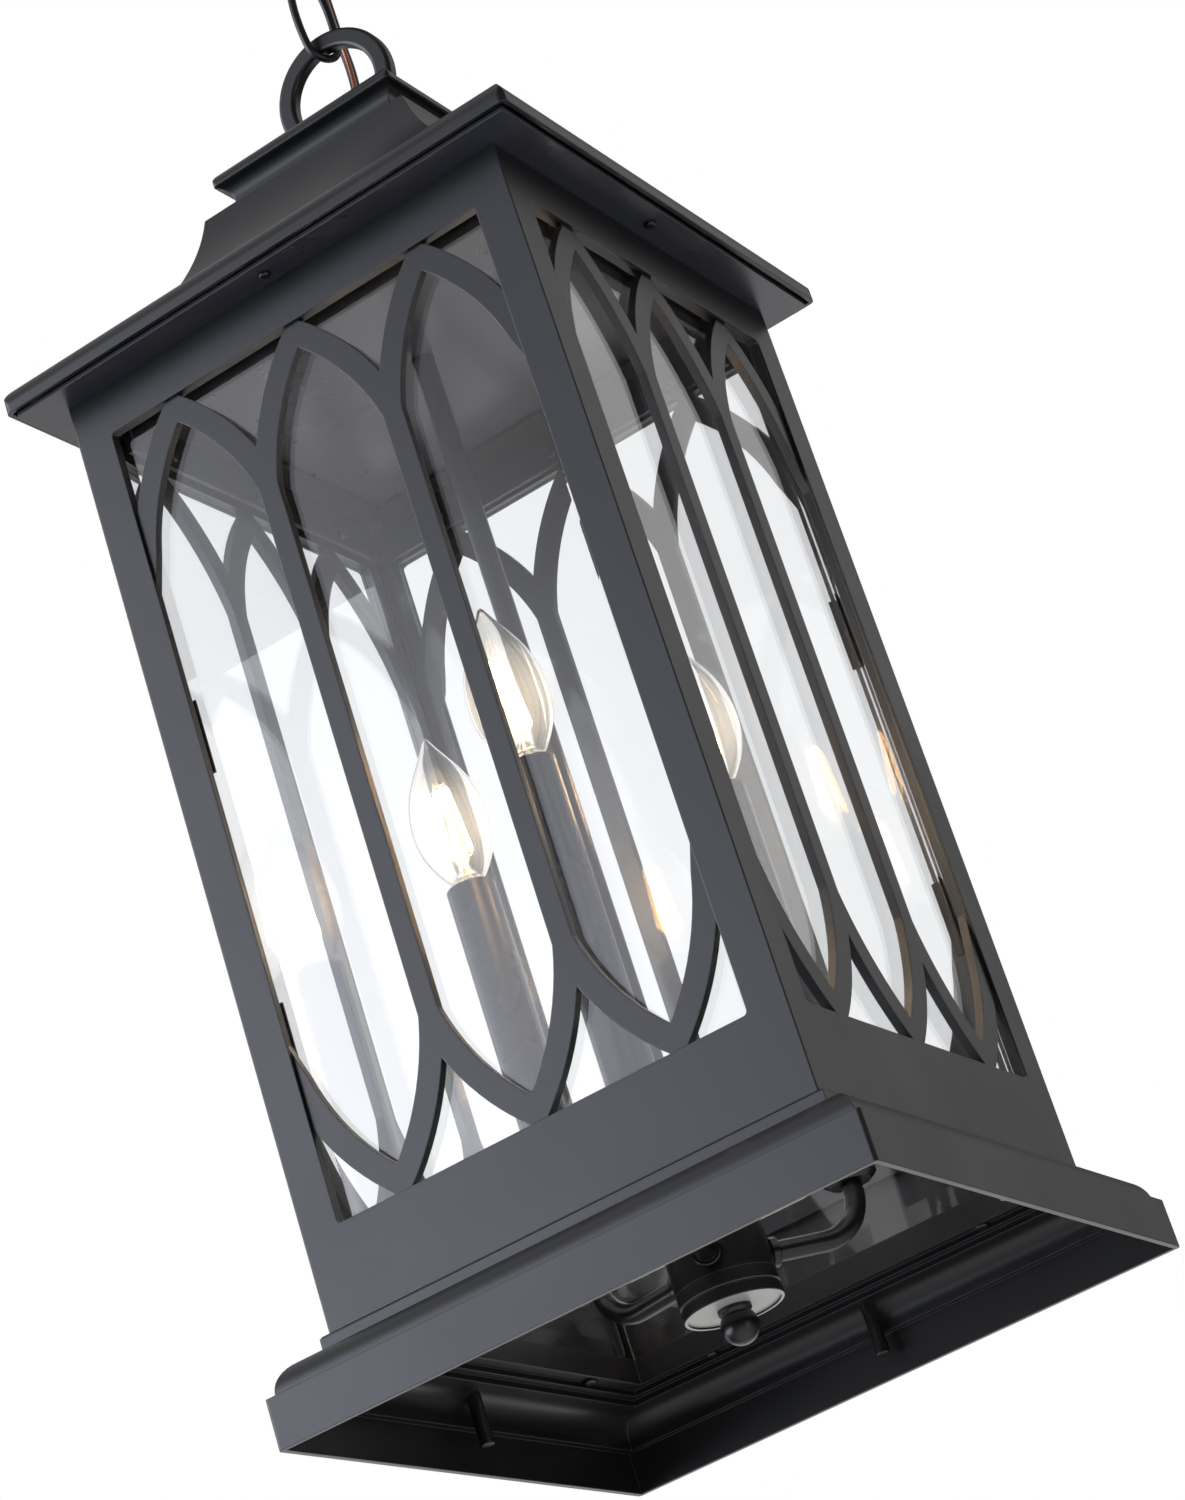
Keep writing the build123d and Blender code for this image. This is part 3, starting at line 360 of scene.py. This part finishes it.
# each coat's look, and the CAD nodes that wear it
coats = {
    "powderCoatedSteel": ({}, ("side_frame_*", "arch_grille_*", "base_moulding")),
    "powderCoatedRoofSheet": (
        {"colours": ("#141517", "#1a1b1e"), "rough": (0.30, 0.37), "edgeMm": 0.8},
        ("roof_shell", "crown_cap", "canopy"),
    ),
    # the soffit's black coat is lightened and blued here: painted reflection of the bright glass and room
    "soffitCoatPaintedReflection": (
        {"colours": ("#30323a", "#3a3c45"), "rough": (0.26, 0.30), "grainMm": 1.4, "bump": 0.0},
        ("soffit_plate",),
    ),
    "mattPaintedSteel": (
        {"colours": ("#131316", "#1b1b1e"), "rough": (0.42, 0.5), "edgeMm": 0.3},
        ("glass_ledge", "glass_rails", "glass_clips", "corner_angles"),
    ),
    "satinPaintedIron": (
        {"colours": ("#121214", "#1a1a1d"), "rough": (0.32, 0.42),
         "grainMm": 1.2, "bump": 0.04, "edgeMm": 0.5},
        ("hanging_ring", "ring_collar", "chain_link_*", "canopy_loop", "screw_collar"),
    ),
    "satinPaintedTube": (
        {"colours": ("#161617", "#1e1e20"), "rough": (0.26, 0.34),
         "grainMm": 1.0, "bump": 0.004, "edgeMm": 0.4},
        ("arm_*", "candle_cup_*", "hub_body", "finial_knob", "stem_tube", "base_pegs"),
    ),
    # the hub cover's downward face is painted light grey, standing in for light from below
    "pressingWithPaintedUnderLight": (
        {"colours": ("#1a1a1b", "#222223"), "rough": (0.34, 0.42),
         "grainMm": 1.0, "bump": 0.004, "edgeMm": 0.4,
         "paintedUnderLight": "#b4b4b0"},
        ("hub_cover",),
    ),
    "paintedCandleTube": (
        {"colours": ("#2a2b2e", "#323337"), "rough": (0.24, 0.30),
         "grainMm": 1.2, "bump": 0.0, "edgeMm": 0.3},
        ("candle_sleeve_*",),
    ),
    "blackOxideScrew": (
        {"colours": ("#141416", "#1e1e20"), "rough": (0.25, 0.35),
         "grainMm": 0.6, "bump": 0.03, "edgeMm": 0.15},
        ("base_screws", "soffit_screws", "clip_screws", "glass_rail_screws"),
    ),
}
for coatName, (look, wearers) in coats.items():
    dress(powderCoatedSteel(coatName, **look), *wearers)

nickel = nickelPlatedBrass()
phosphor = glowingPhosphor()
vinyl = vinylJacket()
copper = strandedCopper()
dress(zincPlatedSteel(), "ring_lock_nut", "stem_lock_nut", "ceiling_crossbar")
dress(phenolicSocket(), "bulb_sockets")
dress(clearGlass("floatGlass", "#fbfcfd", 60, 0.003, 0.0), "glass_pane_*")
dress(vinyl, "cord_bushing", "canopy_bushing", "stem_wires")
print("materials ready")


cordSizes = {
    "cordWide": 4.6 * mm,
    "groundWide": 2.2 * mm,
    "groundShift": (1.6 * mm, -3.3 * mm),  # ground wire in front of the cord, a little to the right
}


def smoothRoute(points):
    # NURBS line with the route's points as its control points, read back as points along it
    curve = bpy.data.curves.new("route", "CURVE")
    curve.dimensions = "3D"
    spline = curve.splines.new("NURBS")
    spline.points.add(len(points) - 1)
    for target, point in zip(spline.points, points):
        target.co = (*point, 1)
    spline.order_u = 3
    spline.use_endpoint_u = True
    spline.resolution_u = 24
    holder = bpy.data.objects.new("route", curve)
    line = bpy.data.meshes.new_from_object(holder)
    found = np.empty(len(line.vertices) * 3)
    line.vertices.foreach_get("co", found)
    bpy.data.objects.remove(holder)
    bpy.data.curves.remove(curve)
    bpy.data.meshes.remove(line)
    return found.reshape(-1, 3)


def evenly(path, begin, end, step):
    # points at even distances along a polyline, between two distances from its start
    run = np.concatenate([[0], np.cumsum(np.linalg.norm(np.diff(path, axis=0), axis=1))])
    where = np.linspace(begin * run[-1], end * run[-1], max(8, int((end - begin) * run[-1] / step)))
    return np.stack([np.interp(where, run, path[:, axis]) for axis in range(3)], axis=-1), where


cordRoute = [
    (-2.5, 15.5, 555.8), (-2.5, 15.5, 568.0), (0.6, 16.6, 586.0), (1.6, 18.8, 607.0), (0, 20.0, 628.0),
    (0, 20.0, 650.0), (0, 20.0, 662.0), (0.7, 20.8, 679.0), (0, 20.0, 698.5), (0, 20.0, 718.5),
]
cordRoute = [(x * mm, y * mm, z * mm - lanternDrop) for x, y, z in cordRoute]
# the stretches from the lantern up, each listed with an upper and a lower body
# name, share of the route where it begins and ends, upper and lower body, heights of the bend, CAD node
cordStretches = [
    ("lower", 0.0, 0.45, "chain_link_lower", "lantern", -0.120, -0.172, ("lower",)),
    ("middle", 0.45, 0.74, "chain_link_upper", "chain_link_lower", -0.075, -0.112, ()),
    ("upper", 0.74, 1.0, "ceiling_mount", "chain_link_upper", -0.034, -0.064, ("upper",)),
]


def cordPieces():
    for kind, width, shift, material, slotName in (
        ("supply_cord", cordSizes["cordWide"], (0, 0), vinyl, "wire_jacket"),
        ("ground_wire", cordSizes["groundWide"], cordSizes["groundShift"], copper, "ground_copper"),
    ):
        line = smoothRoute([(x + shift[0], y + shift[1], z) for x, y, z in cordRoute])
        for part, begin, end, top, low, highZ, lowZ, replaced in cordStretches:
            path, run = evenly(line, begin, end, 1.0 * mm)
            along = np.concatenate([run[:1], run, run[-1:]])
            wall = tubePoints(path, width / 2, 20)
            piece = gridPiece(f"{kind}_{part}_stretch", wall, uv=along, sharpAngle=60)
            piece.data.materials.append(material)
            if replaced:
                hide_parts(f"{kind}_{part}")
            else:
                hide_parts(f"{kind}_lower", f"{kind}_upper")
            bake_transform(piece)


cordPieces()
print("cords laid")


bulb = {
    "wide": 35.4 * mm,
    "glassFoot": 205.5 * mm,  # over the body's lower edge
    "tip": 278.0 * mm,
    "wall": 0.6 * mm,
    "neck": 7.0 * mm,
    "capFoot": 197.0 * mm,
    "screwRadius": 5.8 * mm,
    "screwFoot": 179.0 * mm,
    "filaments": 4,
    "filamentWide": 2.3 * mm,
    "filamentFoot": 14.0 * mm,
    "filamentTop": 47.0 * mm,
    "lampWatts": 0.28,
    "lampHeight": 30 * mm,  # over the foot of the glass
    # painted glow on the bulb glass, though the glass is no lamp: its height over the glass foot, reach and
    # strength
    "paintedGlowHeight": 27 * mm,
    "paintedGlowReach": 34 * mm,
    "paintedGlowStrength": 0.16,
}
bulbGlass = clearGlass("blownGlass", "#fbfaf7", 9, 0.25, 0.06, {
    "height": bulb["glassFoot"] + bulb["paintedGlowHeight"] - lanternDrop,
    "reach": bulb["paintedGlowReach"],
    "strength": bulb["paintedGlowStrength"],
})


def bulbProfile(inset):
    # two Bezier runs, foot to belly and belly to tip, moved inwards by the wall
    half, high = bulb["wide"] / 2 - inset, bulb["tip"] - bulb["glassFoot"]
    foot, belly = bulb["neck"] - inset, 0.385 * high
    lower = bezier([(foot, 0), (foot + 5.5 * mm, 7 * mm), (half, 0.22 * high), (half, belly)], 26)
    shoulder = (1.5 * mm, high - 1.5 * mm - inset)
    upper = bezier([(half, belly), (half, 0.66 * high), (7.6 * mm, 0.80 * high), shoulder], 34)
    point = bezier([shoulder, (0.6 * mm, high - inset), (0, high - inset)], 5)
    return np.concatenate([lower, upper[1:], point[1:]])


def bulbPieces(number):
    body = f"bulb_{number}"
    low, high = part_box(body)
    foot = ((low.x + high.x) / 2, (low.y + high.y) / 2, bulb["glassFoot"] - lanternDrop)
    lift = bulb["glassFoot"]

    # shell: the outer wall up to the tip, then the inner wall back down
    outer, inner = bulbProfile(0), bulbProfile(bulb["wall"])
    wall = np.concatenate([outer, inner[::-1], outer[:1]])
    shell = gridPiece(f"{body}_shell", turnedPoints(wall, foot, 72))
    finishPiece(shell, bulbGlass, body, (body,))

    # cap: pressed collar with a rolled edge, then the screw shell with its round thread
    collar = np.array([
        (0, 0.4), (6.4, 0.4), (7.0, 0.9), (7.35, 0.4), (7.4, -0.6), (7.05, -1.2), (7.05, -6.4), (6.4, -7.6),
        (5.9, -8.6),
    ]) * mm
    turns = np.linspace(0, 1, 60)
    threadHeight = (bulb["capFoot"] - 1.5 * mm - turns * (bulb["capFoot"] - bulb["screwFoot"])) - lift
    # thread: radius swells by a cosine once every 2.54 mm
    thread = np.stack([
        bulb["screwRadius"] - 0.35 * mm * (1 - np.cos(2 * np.pi * threadHeight / (2.54 * mm))), threadHeight,
    ], axis=-1)
    tail = np.array([(3.4, -29.0), (0, -29.4)]) * mm
    capProfile = np.concatenate([collar, thread, tail])
    cap = gridPiece(f"{body}_cap", turnedPoints(capProfile, foot, 48), sharpAngle=50)
    finishPiece(cap, nickel, body)

    # mount: flared glass stem that carries the filaments
    mountShape = bezier([(5.6, 0.6), (5.0, 5.0), (1.6, 6.0), (1.9, 10.0), (2.0, 14.0)], 24) * mm
    mountTop = bezier([(2.0, 14.0), (2.1, 16.5), (0.9, 17.0), (0.7, 20.0), (0, 20.2)], 14) * mm
    closed = np.concatenate([[(0, 0.6 * mm)], mountShape, mountTop[1:]])
    mount = gridPiece(f"{body}_mount", turnedPoints(closed, foot, 32))
    finishPiece(mount, bulbGlass, body)

    # filaments: slim rods leaning outwards to the foot, joined at the top by a wire cross
    for index in range(bulb["filaments"]):
        turn = 2 * math.pi * (index + 0.35) / bulb["filaments"]
        way = np.array([math.cos(turn), math.sin(turn), 0])
        base = np.array(foot) + 5.4 * mm * way + (0, 0, bulb["filamentFoot"])
        top = np.array(foot) + 2.6 * mm * way + (0, 0, bulb["filamentTop"])
        share = np.linspace(0, 1, 18)[:, None]
        # ends rounded by a half circle in the radius
        longWay = bulb["filamentTop"] - bulb["filamentFoot"]
        near = np.minimum(share, 1 - share)[:, 0] * longWay / (0.5 * bulb["filamentWide"])
        thick = 0.5 * bulb["filamentWide"] * np.sqrt(1 - np.clip(1 - near, 0, 1) ** 2 * 0.8)
        rod = gridPiece(f"{body}_filament_{index + 1}", tubePoints(base + share * (top - base), thick, 12))
        finishPiece(rod, phosphor, body)
        # lead wires from the stem out to the filament's foot and from its top to the middle
        leadFoot = np.array(foot) + (0, 0, 12.5 * mm) + 1.0 * mm * way
        lead = bezier([leadFoot, leadFoot + 4.0 * mm * way - (0, 0, 1.5 * mm), base], 12)
        wireLow = gridPiece(f"{body}_lead_{index + 1}", tubePoints(lead, 0.28 * mm, 8))
        finishPiece(wireLow, nickel, body)
        middle = np.array(foot) + (0, 0, bulb["filamentTop"] + 1.2 * mm)
        crown = bezier([top, top + (0, 0, 2.2 * mm), middle], 10)
        wireTop = gridPiece(f"{body}_bridge_{index + 1}", tubePoints(crown, 0.28 * mm, 8, (0.3, 0.2, 1)))
        finishPiece(wireTop, nickel, body)

    lamp = bpy.data.lights.new(f"{body}_light", "POINT")
    lamp.energy = bulb["lampWatts"]
    lamp.color = linear("#ffe2bd")[:3]
    lamp.shadow_soft_size = 7 * mm
    holder = bpy.data.objects.new(lamp.name, lamp)
    holder.location = (foot[0], foot[1], foot[2] + bulb["lampHeight"])
    holder.visible_camera = False
    holder.visible_transmission = False
    bpy.context.scene.collection.objects.link(holder)
    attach(holder, body)


for number in (1, 2, 3):
    bulbPieces(number)
print("bulbs made")


studio = {
    "floorHeight": -2.6,
    "floorHalf": 9.0,
    "backgroundStrength": 1.0,
    "roomDim": 0.12,
    # bright parts of the room: direction, cosine where it starts, cosine where it is full, strength, colour
    "brightParts": [
        ((-0.80, -0.60, 0.12), 0.80, 0.93, 5.6, "#e6eaf8"),
        ((0.55, 0.72, 0.42), 0.91, 0.975, 0.70, "#ffffff"),
        ((-0.385, 0.83, -0.40), 0.80, 0.97, 1.0, "#ffffff"),
        ((0.30, -0.20, -1.00), 0.30, 1.00, 0.75, "#ffffff"),
        ((-0.20, 0.05, 1.00), 0.40, 1.00, 0.45, "#ffffff"),
        ((-1.00, 0.15, 0.10), 0.80, 0.98, 0.90, "#f7f9ff"),
    ],
    "fillPlace": (2.4, -0.6, -1.1),
    "fillTarget": (0, 0, -0.5),
    "fillSize": (0.8, 1.6),
    "fillWatts": 4,
    "eye": (0.6899, -1.4488, -1.2217),
    "lookAt": (0.0150, 0.0070, -0.5155),
    "roll": 18.32,
    "lens": 97.54,
}


def room():
    # white to the eye and through the glass; for light and reflections a dim room with a few bright parts
    world = bpy.data.worlds.new("room")
    bpy.context.scene.world = world
    world.use_nodes = True
    tree = world.node_tree
    tree.nodes.clear()
    way = addNode(tree, "ShaderNodeTexCoord").outputs["Generated"]
    dim = studio["roomDim"]
    light = addNode(tree, "ShaderNodeRGB").outputs["Color"]
    light.default_value = (dim, dim, dim, 1)
    for direction, start, full, strength, colour in studio["brightParts"]:
        facing = addNode(tree, "ShaderNodeVectorMath", {"operation": "DOT_PRODUCT"})
        tree.links.new(way, facing.inputs[0])
        facing.inputs[1].default_value = Vector(direction).normalized()
        share = addNode(tree, "ShaderNodeMapRange",
                        {"interpolation_type": "SMOOTHSTEP", "From Min": start, "From Max": full,
                         "To Max": strength},
                        {"Value": facing.outputs["Value"]})
        patch = addNode(tree, "ShaderNodeVectorMath", {"operation": "MULTIPLY_ADD"})
        patch.inputs[0].default_value = linear(colour)[:3]
        tree.links.new(share.outputs["Result"], patch.inputs[1])
        tree.links.new(light, patch.inputs[2])
        light = patch.outputs["Vector"]
    paths = addNode(tree, "ShaderNodeLightPath").outputs
    seen = addNode(tree, "ShaderNodeMath", {"operation": "MAXIMUM"})
    tree.links.new(paths["Is Camera Ray"], seen.inputs[0])
    tree.links.new(paths["Is Transmission Ray"], seen.inputs[1])
    white = studio["backgroundStrength"]
    shown = addNode(tree, "ShaderNodeMixRGB", {"Color2": (white, white, white, 1)},
                    {"Fac": seen.outputs["Value"], "Color1": light})
    sky = addNode(tree, "ShaderNodeBackground", {"Strength": 1.0}, {"Color": shown.outputs["Color"]})
    addNode(tree, "ShaderNodeOutputWorld", None, {"Surface": sky.outputs["Background"]})


def softbox(name, place, target, size, watts, colour="#ffffff"):
    lamp = bpy.data.lights.new(name, "AREA")
    lamp.shape = "RECTANGLE"
    lamp.size, lamp.size_y = size
    lamp.energy = watts
    lamp.color = linear(colour)[:3]
    holder = bpy.data.objects.new(name, lamp)
    holder.location = place
    holder.rotation_euler = (Vector(target) - Vector(place)).to_track_quat("-Z", "Y").to_euler()
    holder.visible_camera = False
    holder.visible_transmission = False
    bpy.context.scene.collection.objects.link(holder)


def paleFloor():
    half, z = studio["floorHalf"], studio["floorHeight"]
    line = np.linspace(-half, half, 9)
    x, y = np.meshgrid(line, line)
    floor = gridPiece("floor", np.stack([x, y, np.full_like(x, z)], axis=-1), closeAround=False)
    material, tree = newMaterial("paleFloor")
    matt = addNode(tree, "ShaderNodeBsdfPrincipled",
                   {"Base Color": linear("#f2f2f2"), "Roughness": 0.9, "Emission Strength": 0.4,
                    "Emission Color": linear("#ffffff")})
    addNode(tree, "ShaderNodeOutputMaterial", None, {"Surface": matt.outputs["BSDF"]})
    floor.data.materials.append(material)
    floor.visible_glossy = False
    floor.visible_diffuse = False


room()
paleFloor()
softbox("fillLight", studio["fillPlace"], studio["fillTarget"], studio["fillSize"], studio["fillWatts"])

camera = bpy.data.cameras.new("camera")
camera.lens = studio["lens"]
camera.sensor_width = 36
camera.clip_start = 0.05
view = bpy.data.objects.new("camera", camera)
view.location = studio["eye"]
aim = Vector(studio["lookAt"]) - Vector(studio["eye"])
level = aim.to_track_quat("-Z", "Y")
view.rotation_euler = (level @ Quaternion((0, 0, 1), -math.radians(studio["roll"]))).to_euler()
bpy.context.scene.collection.objects.link(view)
bpy.context.scene.camera = view
bpy.context.scene.view_settings.view_transform = "Standard"
print("studio set")
